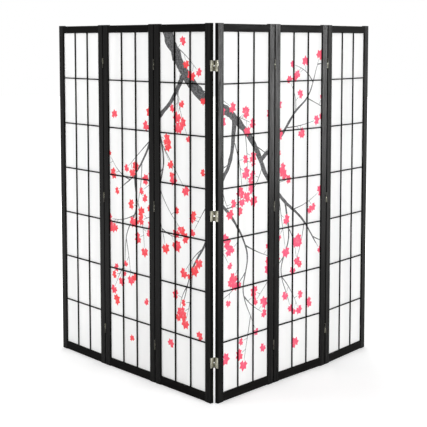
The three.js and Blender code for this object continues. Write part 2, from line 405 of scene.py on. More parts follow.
def brushed_brass(name, colour, roughness):
    """Plated brass, finely brushed and slightly tarnished in patches."""
    material, tree, shader, where = material_base(name)
    uneven = place_group(tree, UNEVEN, where, mottle_scale=55.0, speckle_scale=1600.0)
    darker = tuple(channel * TARNISH for channel in colour)
    patches = ranged(tree, uneven.outputs["Mottle"], 0.45, 0.75)
    blend = mix_colour(tree, patches, (*colour, 1), (*darker, 1))
    tree.links.new(blend, shader.inputs["Base Color"])
    shader.inputs["Metallic"].default_value = 1.0
    varied = math_node(tree, "MULTIPLY_ADD", uneven.outputs["Mottle"], 0.2, roughness)
    tree.links.new(varied, shader.inputs["Roughness"])
    add_bump(tree, shader, uneven.outputs["Speckle"], 0.1, 0.0001)
    return material


STILE_WOOD = black_lacquer(
    "stile_lacquer", ALONG_Z, scale=60.0, roughness=(0.20, 0.36), gloss=0.045, shown=0.18
)
RAIL_WOOD = black_lacquer(
    "rail_lacquer", ALONG_LEVEL, scale=60.0, roughness=(0.38, 0.56), gloss=0.016, shown=0.25
)
BAR_WOOD = black_lacquer(
    "lattice_lacquer", EVERY_WAY, scale=160.0, roughness=(0.42, 0.55), gloss=0.02, shown=0.08
)
PAPER = printed_paper()
BRASS = brushed_brass("hinge_brass", (0.45, 0.44, 0.365), roughness=0.18)
# the barrels and pins: the same brass, painted far darker as their shade
KNUCKLE_BRASS_PAINTED_SHADE = brushed_brass("knuckle_brass_painted_shade", (0.072, 0.070, 0.060), roughness=0.24)
SCREW_BRASS = brushed_brass("screw_brass", (0.31, 0.295, 0.235), roughness=0.20)


# ---- pieces ------------------------------------------------------------------------------

def add_piece(name, mesh, body, material):
    """A finished piece whose place is in its mesh, riding on a body."""
    if material is not None:
        mesh.materials.clear()
        mesh.materials.append(material)
    piece = bpy.data.objects.new(name, mesh)
    bpy.context.scene.collection.objects.link(piece)
    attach(piece, body)
    return piece


def mesh_of(name, shape):
    """Turns a bmesh into a mesh, with its faces pointing outwards."""
    bmesh.ops.recalc_face_normals(shape, faces=shape.faces)
    mesh = bpy.data.meshes.new(name)
    shape.to_mesh(mesh)
    shape.free()
    return mesh


def board(name, low, high):
    """A planed board with rounded arrises, between two corners in panel coordinates."""
    shape = bmesh.new()
    bmesh.ops.create_cube(shape, size=1.0)
    size = high - low
    bmesh.ops.scale(shape, vec=size, verts=shape.verts)
    bmesh.ops.translate(shape, vec=(low + high) / 2, verts=shape.verts)
    bmesh.ops.bevel(
        shape, geom=shape.edges[:], offset=ARRIS, segments=ARRIS_STEPS, profile=0.5, affect="EDGES"
    )
    return mesh_of(name, shape)


def add_frame(number):
    """The two stiles and two rails of a panel."""
    rail_front = Vector((STILE_FACE + FRAME_PLAY, 0, 0))
    rail_back = Vector((PANEL_WIDTH - STILE_FACE - FRAME_PLAY, FRAME_DEPTH, 0))
    members = {
        "left_stile": (LEFT_STILE[0], LEFT_STILE[1], STILE_WOOD),
        "right_stile": (RIGHT_STILE[0], RIGHT_STILE[1], STILE_WOOD),
        "top_rail": (
            rail_front + Vector((0, 0, OPENING_HEAD)),
            rail_back + Vector((0, 0, TOP_RAIL[1].z)),
            RAIL_WOOD,
        ),
        "bottom_rail": (
            rail_front + Vector((0, 0, RAIL_FOOT)),
            rail_back + Vector((0, 0, OPENING_FOOT)),
            RAIL_WOOD,
        ),
    }
    for member, (low, high, wood) in members.items():
        name = f"panel_{number}_{member}_lacquered"
        mesh = board(name, low, high)
        mesh.transform(PLACES[number])
        piece = add_piece(name, mesh, f"panel_{number}", wood)
        if member == "bottom_rail":
            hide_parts(f"panel_{number}_lattice_and_bottom_rail")
        else:
            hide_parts(f"panel_{number}_{member}")


# ---- lattice, by geometry nodes ----------------------------------------------------------

def geometry_tree(name, inputs):
    """A geometry node tree with named inputs, given as (name, socket type)."""
    tree = bpy.data.node_groups.new(name, "GeometryNodeTree")
    sockets = {}
    for label, kind in inputs:
        sockets[label] = tree.interface.new_socket(label, in_out="INPUT", socket_type=kind)
    tree.interface.new_socket("Geometry", in_out="OUTPUT", socket_type="NodeSocketGeometry")
    entry = tree.nodes.new("NodeGroupInput")
    leave = tree.nodes.new("NodeGroupOutput")
    return tree, sockets, entry, leave


def vector_from(tree, x=0.0, y=0.0, z=0.0):
    """A Combine XYZ node; x, y and z are numbers or sockets. Returns its output socket."""
    made = tree.nodes.new("ShaderNodeCombineXYZ")
    for index, value in enumerate((x, y, z)):
        if isinstance(value, bpy.types.NodeSocket):
            tree.links.new(value, made.inputs[index])
        else:
            made.inputs[index].default_value = value
    return made.outputs[0]


def bar_row(tree, entry, direction, count, length, start, step):
    """A row of equal bars along one direction, as instances on a line of points."""
    section = put(tree, "GeometryNodeCurvePrimitiveQuadrilateral")
    wire(tree, (entry, "Bar Face", section, "Width"), (entry, "Bar Depth", section, "Height"))
    eased = put(tree, "GeometryNodeFilletCurve", mode="POLY")
    eased.inputs["Count"].default_value = 2
    wire(tree, (section, 0, eased, "Curve"), (entry, "Ease", eased, "Radius"))
    run = put(tree, "GeometryNodeCurvePrimitiveLine")
    ends = vector_from(tree, **{direction: length})
    tree.links.new(ends, run.inputs["End"])
    bar = put(tree, "GeometryNodeCurveToMesh")
    bar.inputs["Fill Caps"].default_value = True
    wire(tree, (run, 0, bar, "Curve"), (eased, 0, bar, "Profile Curve"))
    points = put(tree, "GeometryNodeMeshLine", mode="OFFSET")
    tree.links.new(count, points.inputs["Count"])
    tree.links.new(start, points.inputs["Start Location"])
    tree.links.new(step, points.inputs["Offset"])
    copies = put(tree, "GeometryNodeInstanceOnPoints")
    wire(tree, (points, 0, copies, "Points"), (bar, 0, copies, "Instance"))
    return copies


def lattice_tree():
    """Upright and level bars, evenly spaced in the opening, half-lapped where they cross."""
    tree, sockets, entry, leave = geometry_tree(
        "lattice_bars",
        [("Opening Width", FLOAT), ("Opening Height", FLOAT), ("Columns", "NodeSocketInt"),
         ("Rows", "NodeSocketInt"), ("Bar Face", FLOAT), ("Bar Depth", FLOAT), ("Ease", FLOAT),
         ("Lap Step", FLOAT), ("Bury", FLOAT), ("Wood", "NodeSocketMaterial")],
    )
    out = entry.outputs
    width, height = out["Opening Width"], out["Opening Height"]
    column = math_node(tree, "DIVIDE", math_node(tree, "ADD", width, out["Bar Face"]), out["Columns"])
    row = math_node(tree, "DIVIDE", math_node(tree, "ADD", height, out["Bar Face"]), out["Rows"])
    half_face = math_node(tree, "MULTIPLY", out["Bar Face"], 0.5)
    half_depth = math_node(tree, "MULTIPLY", out["Bar Depth"], 0.5)
    buried = math_node(tree, "MULTIPLY", out["Bury"], -1.0)
    twice = math_node(tree, "MULTIPLY", out["Bury"], 2.0)
    set_in = math_node(tree, "ADD", half_depth, out["Lap Step"])
    uprights = bar_row(
        tree, entry, "z",
        math_node(tree, "SUBTRACT", out["Columns"], 1.0),
        math_node(tree, "ADD", height, twice),
        vector_from(tree, math_node(tree, "SUBTRACT", column, half_face), set_in, buried),
        vector_from(tree, x=column),
    )
    levels = bar_row(
        tree, entry, "x",
        math_node(tree, "SUBTRACT", out["Rows"], 1.0),
        math_node(tree, "ADD", width, twice),
        vector_from(tree, buried, half_depth, math_node(tree, "SUBTRACT", row, half_face)),
        vector_from(tree, z=row),
    )
    joined = put(tree, "GeometryNodeJoinGeometry")
    wire(tree, (uprights, 0, joined, 0), (levels, 0, joined, 0))
    real = put(tree, "GeometryNodeRealizeInstances")
    finish = put(tree, "GeometryNodeSetMaterial")
    wire(
        tree,
        (joined, 0, real, 0),
        (real, 0, finish, "Geometry"),
        (entry, "Wood", finish, "Material"),
        (finish, 0, leave, 0),
    )
    return tree, sockets


def grown(name, tree, sockets, values, base=None):
    """The mesh that a geometry node tree makes with these values for its named inputs."""
    holder = bpy.data.objects.new(name + "_source", base or bpy.data.meshes.new(name + "_source"))
    bpy.context.scene.collection.objects.link(holder)
    modifier = holder.modifiers.new(name, "NODES")
    modifier.node_group = tree
    for label, value in values.items():
        modifier[sockets[label].identifier] = value
    evaluated = holder.evaluated_get(bpy.context.evaluated_depsgraph_get())
    mesh = bpy.data.meshes.new_from_object(evaluated)
    bpy.data.objects.remove(holder)
    mesh.name = name
    return mesh


LATTICE_TREE, LATTICE_INPUTS = lattice_tree()


def add_lattice(number):
    """The bars of one panel."""
    name = f"panel_{number}_lattice_bars"
    mesh = grown(name, LATTICE_TREE, LATTICE_INPUTS, {
        "Opening Width": PANEL_WIDTH - 2 * STILE_FACE,
        "Opening Height": OPENING_HEAD - OPENING_FOOT,
        "Columns": COLUMNS,
        "Rows": ROWS,
        "Bar Face": BAR_FACE,
        "Bar Depth": BAR_DEPTH - LAP_STEP,
        "Ease": BAR_EASE,
        "Lap Step": LAP_STEP,
        "Bury": BAR_TENON,
        "Wood": BAR_WOOD,
    })
    mesh.transform(Matrix.Translation((STILE_FACE, BAR_SET_BACK, OPENING_FOOT)))
    mesh.transform(PLACES[number])
    piece = add_piece(name, mesh, f"panel_{number}", None)
    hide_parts(f"panel_{number}_lattice_and_bottom_rail")


# ---- the printed design: a maple bough with falling leaves -------------------------------
# Wall coordinates: x along the unfolded screen from its left end, y up from the floor.

BOUGH = [(0.93, 1.80), (1.04, 1.62), (1.20, 1.46), (1.40, 1.36), (1.57, 1.22), (1.69, 1.03),
         (1.83, 0.90), (1.97, 0.80), (2.09, 0.66)]
LIMBS = [
    # points, width at the root, width at the tip
    (BOUGH, 0.076, 0.006),
    ([(1.10, 1.56), (1.00, 1.42), (0.88, 1.31), (0.79, 1.15), (0.69, 1.03), (0.58, 0.96)], 0.034, 0.004),
    ([(1.43, 1.34), (1.40, 1.14), (1.29, 0.98), (1.26, 0.78), (1.15, 0.62), (1.08, 0.44)], 0.036, 0.004),
    ([(1.64, 1.13), (1.78, 1.22), (1.90, 1.34), (2.02, 1.43), (2.09, 1.58)], 0.026, 0.004),
    ([(1.29, 0.98), (1.43, 0.85), (1.53, 0.68), (1.50, 0.50), (1.58, 0.33)], 0.020, 0.003),
    ([(0.88, 1.31), (0.93, 1.12), (0.88, 0.92), (0.93, 0.74)], 0.016, 0.003),
    ([(0.69, 1.03), (0.70, 0.86), (0.62, 0.72), (0.60, 0.56)], 0.013, 0.003),
    ([(1.83, 0.90), (1.86, 0.72), (1.80, 0.56), (1.86, 0.40)], 0.015, 0.003),
]
# Single leaves, off the limbs
FALLING = [(0.78, 0.40), (0.98, 0.22), (0.52, 0.36), (1.36, 0.20), (1.66, 0.20), (1.70, 0.62),
           (1.20, 0.30), (2.04, 0.36), (1.92, 0.16), (0.52, 1.32), (1.74, 1.52), (0.66, 0.18)]
PRINTED_PANELS = (2, 3, 4, 5)
PRINT_SEED = 11
TWIG_SPACING = (8, 13)               # places along a limb from one twig to the next
TWIG_LENGTHS = (0.09, 0.22)
TWIG_STEPS = 7
TWIG_WIDTHS = (0.0065, 0.0022)       # at its root and tip
DROOP = Vector((0, -0.25))
STALK_STEPS = (0.012, 0.030)
STALK_WIDTHS = (0.0026, 0.0018)
STALK_TO_LEAF = 0.014                # from a stalk's end to the middle of its leaf
LEAF_SIZES = (0.046, 0.084)
TIP_ANGLES = (90, 43, -6, -52)       # one half of a leaf's seven points, from the middle one
TIP_REACH = (1.0, 0.92, 0.80, 0.55)  # and their reach, in half sizes of the leaf
NOTCH_REACH = 0.70                   # as a part of the reach of the points beside it
STALK_NOTCH = 0.12
VEIN_FOOT = 0.10
VEIN_REACH = 0.84
VEIN_WIDTH = 0.036
VEIN_STRENGTH = 0.76                 # how much of the leaf's colour a vein keeps
LEAF_VARIETY = 0.4                   # how far a leaf's tint may stray from its panel's
SHOW_THROUGH = 0.16                  # how strongly the print shows on the paper's back
# the bars' shadow on the back of the paper is painted, not cast
BAR_PAINTED_SHADOW = 0.13                     # how strongly the bars in front show there


def smooth_path(points, step=0.012):
    """A curve through the points, as closely spaced places."""
    points = [Vector(p) for p in points]
    chain = [points[0] * 2 - points[1], *points, points[-1] * 2 - points[-2]]
    path = []
    for a, b, c, d in zip(chain, chain[1:], chain[2:], chain[3:]):
        steps = max(2, round((c - b).length / step))
        for i in range(steps):
            t = i / steps
            path.append(0.5 * (
                2 * b + (c - a) * t + (2 * a - 5 * b + 4 * c - d) * t * t
                + (3 * b - 3 * c + d - a) * t ** 3
            ))
    return [*path, points[-1]]


def directions(path):
    """The unit tangent at each place of a path."""
    ends = [path[0], *path, path[-1]]
    return [(b - a).normalized() for a, b in zip(ends, ends[2:])]


def evened(values):
    """Each value as the mean of itself and its neighbours."""
    return [sum(three) / 3 for three in zip([values[0], *values], values, [*values[1:], values[-1]])]


def brush_stroke(path, root, tip, rng):
    """The outline of one printed brush stroke that thins towards its tip."""
    left, right = [], []
    last = len(path) - 1
    edges = [evened([rng.uniform(0.7, 1.3) for _ in path]) for _ in range(2)]
    for i, (place, along, near, far) in enumerate(zip(path, directions(path), *edges)):
        side = Vector((-along.y, along.x))
        width = root + (tip - root) * (i / last) ** 0.8
        left.append(place + side * width * 0.5 * near)
        right.append(place - side * width * 0.5 * far)
    return left + right[::-1]


def leaf_tips():
    """The angle and reach of a leaf's seven points, in order round it."""
    tips = list(zip(TIP_ANGLES, TIP_REACH))
    return [(180 - a, r) for a, r in reversed(tips[1:])] + tips


def leaf_outline(centre, size, turn):
    """A seven-pointed leaf, its middle point towards the angle turn."""
    around = leaf_tips()
    outline = []
    for (angle, reach), following in zip(around, [*around[1:], None]):
        outline.append((angle, reach))
        if following:
            middle = (angle + following[0]) / 2
            outline.append((middle, NOTCH_REACH * (reach + following[1]) / 2))
    outline.append((-90, STALK_NOTCH))
    spots = [(math.radians(a - 90) + turn, r * size / 2) for a, r in outline]
    return [centre + Vector((math.cos(a), math.sin(a))) * r for a, r in spots]


def leaf_veins(centre, size, turn):
    """Thin wedges that run from the stalk out to each of the leaf's points."""
    half = size / 2
    foot = centre - Vector((math.cos(turn), math.sin(turn))) * VEIN_FOOT * half
    veins = []
    for angle, reach in leaf_tips():
        way = math.radians(angle - 90) + turn
        end = centre + Vector((math.cos(way), math.sin(way))) * reach * VEIN_REACH * half
        along = (end - foot).normalized()
        side = Vector((-along.y, along.x)) * VEIN_WIDTH / 2 * half
        veins.append([foot + side, end, foot - side])
    return veins


def twig(place, along, length, rng):
    """A short path that leaves a limb and droops a little."""
    path = [place]
    heading = math.atan2(along.y, along.x)
    bend = rng.uniform(-0.10, 0.10)
    for _ in range(TWIG_STEPS):
        heading += bend
        way = Vector((math.cos(heading), math.sin(heading))) + DROOP
        path.append(path[-1] + way * length / TWIG_STEPS)
    return path


def turned(vector, angle):
    """The vector, turned anticlockwise by an angle in radians."""
    return Vector((
        vector.x * math.cos(angle) - vector.y * math.sin(angle),
        vector.x * math.sin(angle) + vector.y * math.cos(angle),
    ))


def design():
    """The whole print: the outlines of its brush strokes, and for each leaf its outline,
    its veins and how far its tint strays."""
    rng = random.Random(PRINT_SEED)
    strokes, leaves = [], []

    def add_leaf(place, turn):
        """A leaf of its own size and tint."""
        size = rng.uniform(*LEAF_SIZES)
        stray = rng.uniform(0, LEAF_VARIETY)
        leaves.append((leaf_outline(place, size, turn), leaf_veins(place, size, turn), stray))

    def add_stalk(place, way):
        """A short stalk with a leaf at its end."""
        stalk = [place, *(place + way * step for step in STALK_STEPS)]
        strokes.append(brush_stroke(stalk, *STALK_WIDTHS, rng))
        add_leaf(stalk[-1] + way * STALK_TO_LEAF, math.atan2(way.y, way.x))

    for points, root, tip in LIMBS:
        path = smooth_path(points)
        strokes.append(brush_stroke(path, root, tip, rng))
        ways = directions(path)
        side = 1
        place = 8 + rng.randrange(5)
        while place < len(path):
            away = turned(ways[place], side * rng.uniform(0.5, 1.0))
            spur = twig(path[place], away, rng.uniform(*TWIG_LENGTHS), rng)
            strokes.append(brush_stroke(spur, *TWIG_WIDTHS, rng))
            spur_ways = directions(spur)
            add_stalk(spur[-1], spur_ways[-1])
            for at in rng.sample(range(2, len(spur)), rng.randrange(2, 4)):
                add_stalk(spur[at], turned(spur_ways[at], rng.choice((-1, 1)) * rng.uniform(0.7, 1.4)))
            side = -side
            place += rng.randrange(*TWIG_SPACING)
        add_stalk(path[-1], ways[-1])
    for spot in FALLING:
        add_leaf(Vector(spot), rng.uniform(0, math.tau))
    return strokes, leaves


def inside(points, outline):
    """Which of the points lie in the outline, by counting crossings."""
    x, y = points[:, 0], points[:, 1]
    corners_x, corners_y = np.array([p.x for p in outline]), np.array([p.y for p in outline])
    found = np.zeros(len(points), bool)
    for ax, ay, bx, by in zip(corners_x, corners_y, np.roll(corners_x, -1), np.roll(corners_y, -1)):
        crosses = (ay > y) != (by > y)
        if ay != by:
            found ^= crosses & (x < (bx - ax) * (y - ay) / (by - ay) + ax)
    return found


def rectangle(left, foot, right, top):
    """The four corners of an upright rectangle, in order round it."""
    return [Vector(corner) for corner in ((left, foot), (right, foot), (right, top), (left, top))]


def sheet_faces(low, high, outlines):
    """Triangles that fill a rectangle and follow every outline's edges."""
    points = rectangle(low.x, low.y, high.x, high.y)
    edges = [(0, 1), (1, 2), (2, 3), (3, 0)]
    for outline in outlines:
        first = len(points)
        points.extend(outline)
        edges.extend((first + i, first + (i + 1) % len(outline)) for i in range(len(outline)))
    spots, _, faces, *_ = delaunay_2d_cdt(points, edges, [], 0, 1e-6, False)
    spots = np.array([tuple(p) for p in spots])
    faces = np.array([tuple(f) for f in faces])
    centres = spots[faces].mean(1)
    within = (
        (centres[:, 0] > low.x) & (centres[:, 0] < high.x)
        & (centres[:, 1] > low.y) & (centres[:, 1] < high.y)
    )
    return spots, faces[within], centres[within]


STROKES, LEAVES = design()


def bar_outlines():
    """The lattice bars as they lie against the paper, in panel coordinates."""
    column = (PANEL_WIDTH - 2 * STILE_FACE + BAR_FACE) / COLUMNS
    row = (OPENING_HEAD - OPENING_FOOT + BAR_FACE) / ROWS
    for i in range(1, COLUMNS):
        right = STILE_FACE + i * column
        yield rectangle(right - BAR_FACE, OPENING_FOOT, right, OPENING_HEAD)
    for i in range(1, ROWS):
        top = OPENING_FOOT + i * row
        yield rectangle(STILE_FACE, top - BAR_FACE, PANEL_WIDTH - STILE_FACE, top)


def add_paper(number):
    """One panel's sheet, with the part of the design that falls on it."""
    name = f"panel_{number}_printed_paper"
    offset = Vector(((number - 1) * PANEL_PITCH, 0))
    low = Vector((SHEET[0].x, SHEET[0].z))
    high = Vector((SHEET[1].x, SHEET[1].z))

    def near(outline):
        """Whether an outline of the design reaches this sheet."""
        xs = [p.x - offset.x for p in outline]
        return number in PRINTED_PANELS and max(xs) > low.x and min(xs) < high.x

    def here(outline):
        """The outline in panel coordinates."""
        return [p - offset for p in outline]

    strokes = [here(outline) for outline in STROKES if near(outline)]
    leaves = [(here(leaf), stray) for leaf, _, stray in LEAVES if near(leaf)]
    veins = [here(vein) for leaf, all_veins, _ in LEAVES if near(leaf) for vein in all_veins]
    bars = list(bar_outlines())
    spots, faces, centres = sheet_faces(low, high, strokes + [o for o, _ in leaves] + veins + bars)
    red = np.zeros(len(faces))
    shade = np.full(len(faces), float(number > 3))
    for outline, stray in leaves:
        within = inside(centres, outline)
        red[within] = 1.0
        shade[within] = 1 - stray if number > 3 else stray
    for outline in veins:
        red[inside(centres, outline) & (red > 0)] = VEIN_STRENGTH
    is_ink = np.zeros(len(faces), bool)
    for outline in strokes:
        is_ink |= inside(centres, outline)
    # where the bars stand in front of the sheet: painted as their shadow on the back
    in_painted_bar_shadow = np.zeros(len(faces), bool)
    for outline in bars:
        in_painted_bar_shadow |= inside(centres, outline)

    shape = bmesh.new()
    ink_and_bar_shadow = shape.faces.layers.float.new("ink_and_bar_shadow")
    leaf = shape.faces.layers.float.new("leaf")
    tint = shape.faces.layers.float.new("tint")
    used = sorted(set(faces.ravel()))
    front = {i: shape.verts.new((spots[i][0], SHEET[0].y, spots[i][1])) for i in used}
    back = {i: shape.verts.new((spots[i][0], SHEET[1].y, spots[i][1])) for i in used}
    for i, (a, b, c) in enumerate(faces):
        facing = shape.faces.new((front[a], front[b], front[c]))
        facing[leaf] = red[i]
        facing[ink_and_bar_shadow] = float(is_ink[i])
        behind = shape.faces.new((back[c], back[b], back[a]))
        behind[leaf] = SHOW_THROUGH * red[i]
        # on the back the print shows faintly, and the bars' footprint is painted darker as their shadow
        behind[ink_and_bar_shadow] = max(SHOW_THROUGH * is_ink[i], BAR_PAINTED_SHADOW * in_painted_bar_shadow[i])
        facing[tint] = behind[tint] = shade[i]
    rim = [e for e in shape.edges if e.is_boundary and e.verts[0] in set(front.values())]
    across = {front[i]: back[i] for i in used}
    for edge in rim:
        a, b = edge.verts
        shape.faces.new((a, b, across[b], across[a]))
    mesh = mesh_of(name, shape)
    mesh.transform(PLACES[number])
    piece = add_piece(name, mesh, f"panel_{number}", PAPER)
    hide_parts(f"panel_{number}_paper")


# ---- two-way hinges ----------------------------------------------------------------------
# Hinge coordinates: x = 0 in the middle of the seam, y = 0 on the frame's front face,
# z = 0 at the hinge's middle. This half is the left one of a seam that folds about the
# back axis: its idle barrel is in front and above, its working barrel behind and below.

def add_plate(shape, outline, start, thickness):
    """A flat plate with softened edges: an outline in y and z, from x = start on."""
    part = bmesh.new()
    face = part.faces.new([part.verts.new((start, y, z)) for y, z in outline])
    made = bmesh.ops.extrude_face_region(part, geom=[face])
    moved = [item for item in made["geom"] if isinstance(item, bmesh.types.BMVert)]
    bmesh.ops.translate(part, vec=(thickness, 0, 0), verts=moved)
    bmesh.ops.bevel(part, geom=part.edges[:], offset=PLATE_EASE, segments=2, profile=0.5, affect="EDGES")
    bmesh.ops.recalc_face_normals(part, faces=part.faces)
    mesh = bpy.data.meshes.new("plate")
    part.to_mesh(mesh)
    part.free()
    shape.from_mesh(mesh)
    bpy.data.meshes.remove(mesh)


def add_turned(shape, profile, x, y, sides=24):
    """A solid of revolution about a vertical axis, from (radius, height) pairs."""
    rings = []
    for radius, height in profile:
        around = sides if radius > 0 else 1
        rings.append([
            shape.verts.new((
                x + radius * math.cos(math.tau * i / sides),
                y + radius * math.sin(math.tau * i / sides),
                height,
            ))
            for i in range(around)
        ])
    for low, high in zip(rings, rings[1:]):
        for i in range(sides):
            j = (i + 1) % sides
            ring = [low[i % len(low)], low[j % len(low)], high[j % len(high)], high[i % len(high)]]
            shape.faces.new(list(dict.fromkeys(ring)))


def barrel_profile(inner, outer, bore=0.0):
    """A barrel of rolled knuckles, with the pin's domed head at its outer end and, if it
    takes the other half's pin, a hole at its inner end."""
    way = 1 if outer > inner else -1
    pitch = abs(outer - inner) / KNUCKLES
    profile = [(0, PIN_REACH), (bore, PIN_REACH), (bore, 0)] if bore else [(0, 0)]
    for i in range(KNUCKLES):
        start, end = i * pitch, (i + 1) * pitch
        profile += [
            (BARREL_RADIUS - KNUCKLE_DIP, start),
            (BARREL_RADIUS, start + KNUCKLE_DIP),
            (BARREL_RADIUS, end - KNUCKLE_DIP),
        ]
    profile.append((BARREL_RADIUS - KNUCKLE_DIP, end))
    steps = 4
    for i in range(steps + 1):
        angle = math.pi / 2 * i / steps
        radius = PIN_HEAD_RADIUS * math.cos(angle) if i < steps else 0
        profile.append((radius, end + PIN_HEAD_RISE * math.sin(angle)))
    return [(radius, inner + way * height) for radius, height in profile]


def hinge_half_mesh(takes_pin):
    """One half: a leaf, a link plate, an idle and a working barrel, and the pin or its hole."""
    half = HINGE_HEIGHT / 2
    split = KNUCKLE_GAP / 2
    leaf = -SEAM_GAP / 2 + LEAF_SEAT
    front_axis = -BARREL_PROUD
    back_axis = FRAME_DEPTH + BARREL_PROUD
    front, back = LEAF_SEAT, FRAME_DEPTH - LEAF_SEAT
    shape = bmesh.new()
    add_plate(shape, [
        (front_axis, split), (front, split), (front, LEAF_CORNER - half), (front + LEAF_CORNER, -half),
        (back_axis, -half), (back_axis, -split), (back, -split),
        (back, half - LEAF_CORNER), (back - LEAF_CORNER, half), (front_axis, half),
    ], leaf, LEAF_THICKNESS)
    add_plate(shape, [
        (front, split), (back, split),
        (back, half - LEAF_CORNER), (back - LEAF_CORNER, half), (front, half),
    ], leaf + LEAF_THICKNESS - LEAF_SEAT, LINK_THICKNESS + LEAF_SEAT)
    head = half - PIN_HEAD_RISE
    bore = PIN_RADIUS + PIN_PLAY if takes_pin else 0.0
    plates = len(shape.faces)
    add_turned(shape, barrel_profile(split, head), -IDLE_SHIFT, front_axis)
    add_turned(shape, barrel_profile(-split, -head, bore), 0.0, back_axis)
    if not takes_pin:
        top = split + PIN_REACH - PIN_PLAY
        add_turned(
            shape,
            [(0, -split - PIN_PLAY), (PIN_RADIUS, -split - PIN_PLAY), (PIN_RADIUS, top - PIN_PLAY),
             (PIN_RADIUS - PIN_PLAY, top), (0, top)],
            0.0, back_axis, sides=16,
        )
    mesh = mesh_of("hinge_half", shape)
    mesh.materials.append(BRASS)
    mesh.materials.append(KNUCKLE_BRASS_PAINTED_SHADE)
    # the faces after the plates' are the barrels and the pin, in a far darker brass that paints their
    # shade
    for polygon in mesh.polygons:
        polygon.use_smooth = True
        polygon.material_index = int(polygon.index >= plates)
    mesh.set_sharp_from_angle(angle=math.radians(38))
    return mesh


def seam_turn(side, folds_forward):
    """Turns the half into each of its four places: a right-hand half is the same piece
    turned over, and so is one of a seam that folds about the front axis."""
    turn = Matrix.Identity(4)
    middle = Matrix.Translation((0, FRAME_DEPTH / 2, 0))
    if side == "right":
        turn = Matrix.Rotation(math.pi, 4, "Y") @ turn
    if folds_forward:
        turn = middle @ Matrix.Rotation(math.pi, 4, "X") @ middle.inverted() @ turn
    return turn


def hinge_places(seam):
    """Each half of a seam's three hinges: (node, panel, place of the half in its panel)."""
    folds_forward = seam in (2, 4)
    for level in HINGE_LEVELS:
        for side, number, across in (
            ("left", seam, PANEL_WIDTH + SEAM_GAP / 2), ("right", seam + 1, -SEAM_GAP / 2)
        ):
            node = f"hinge_{seam}_{seam + 1}_{level}_{side}_half"
            low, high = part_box(node)
            height = (low.z + high.z) / 2
            local = Matrix.Translation((across, 0, height)) @ seam_turn(side, folds_forward)
            yield node, number, PLACES[number] @ local


def add_hinges():
    """Every hinge half, as its own brass piece."""
    halves = {side: hinge_half_mesh(side == "right") for side in ("left", "right")}
    for seam in range(1, len(PANELS)):
        for node, number, place in hinge_places(seam):
            side = "left" if number == seam else "right"
            name = node.replace("_half", "_brass")
            mesh = halves[side].copy()
            mesh.transform(place)
            piece = add_piece(name, mesh, f"panel_{number}", None)
            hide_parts(node)
    for mesh in halves.values():
        bpy.data.meshes.remove(mesh)


# ---- hinge screws, by geometry nodes -----------------------------------------------------

def screw_head():
    """A countersunk head with a cross recess, its face up, as an object to repeat."""
    shape = bmesh.new()
    sides = 20
    rim = [
        Vector((math.cos(math.tau * i / sides), math.sin(math.tau * i / sides), 0)) * SCREW_RADIUS
        for i in range(sides)
    ]
    slot, arm = SCREW_RADIUS * 0.16, SCREW_RADIUS * 0.62
    cross = []
    for quarter in range(4):
        spin = Matrix.Rotation(quarter * math.pi / 2, 4, "Z")
        cross += [spin @ Vector((x, y, 0)) for x, y in ((arm, -slot), (arm, slot), (slot, slot))]
    up = Vector((0, 0, SCREW_RISE))
    lip = [shape.verts.new(point * 0.86 + up) for point in rim]
    edge = [shape.verts.new(point + up * 0.4) for point in rim]
    seat = [shape.verts.new(point * 0.96 - up) for point in rim]
    opening = [shape.verts.new(point + up) for point in cross]
    floor = [shape.verts.new(point * 0.8 - up * 0.8) for point in cross]
    for ring, following in ((lip, edge), (edge, seat), (floor, opening)):
        count = len(ring)
        for i in range(count):
            shape.faces.new((ring[i], ring[(i + 1) % count], following[(i + 1) % count], following[i]))
    shape.faces.new(seat)
    shape.faces.new(floor)
    between = [
        shape.edges.get((ring[i], ring[(i + 1) % len(ring)]))
        for ring in (lip, opening)
        for i in range(len(ring))
    ]
    bmesh.ops.bridge_loops(shape, edges=between)
    mesh = mesh_of("screw_head", shape)
    head = bpy.data.objects.new("screw_head", mesh)
    bpy.context.scene.collection.objects.link(head)
    return head


def screws_tree():
    """A screw head on every point, its face along the point's normal, each turned its own way."""
    tree, sockets, entry, leave = geometry_tree(
        "hinge_screws",
        [("Geometry", "NodeSocketGeometry"), ("Head", "NodeSocketObject"), ("Seed", "NodeSocketInt"),
         ("Brass", "NodeSocketMaterial")],
    )
    head = put(tree, "GeometryNodeObjectInfo")
    spin = put(tree, "FunctionNodeRandomValue", data_type="FLOAT")
    spin.inputs[3].default_value = math.tau
    facing = put(tree, "GeometryNodeInputNamedAttribute", data_type="FLOAT_VECTOR")
    facing.inputs["Name"].default_value = "facing"
    aim = put(tree, "FunctionNodeAlignRotationToVector", axis="Z")
    turned_head = put(tree, "FunctionNodeRotateRotation", rotation_space="LOCAL")
    about = put(tree, "FunctionNodeAxisAngleToRotation")
    copies = put(tree, "GeometryNodeInstanceOnPoints")
    real = put(tree, "GeometryNodeRealizeInstances")
    finish = put(tree, "GeometryNodeSetMaterial")
    wire(
        tree,
        (entry, "Head", head, "Object"),
        (entry, "Seed", spin, "Seed"),
        (spin, 1, about, "Angle"),
        (facing, 0, aim, "Vector"),
        (aim, 0, turned_head, 0),
        (about, 0, turned_head, 1),
        (entry, "Geometry", copies, "Points"),
        (head, "Geometry", copies, "Instance"),
        (turned_head, 0, copies, "Rotation"),
        (copies, 0, real, 0),
        (real, 0, finish, "Geometry"),
        (entry, "Brass", finish, "Material"),
        (finish, 0, leave, 0),
    )
    return tree, sockets


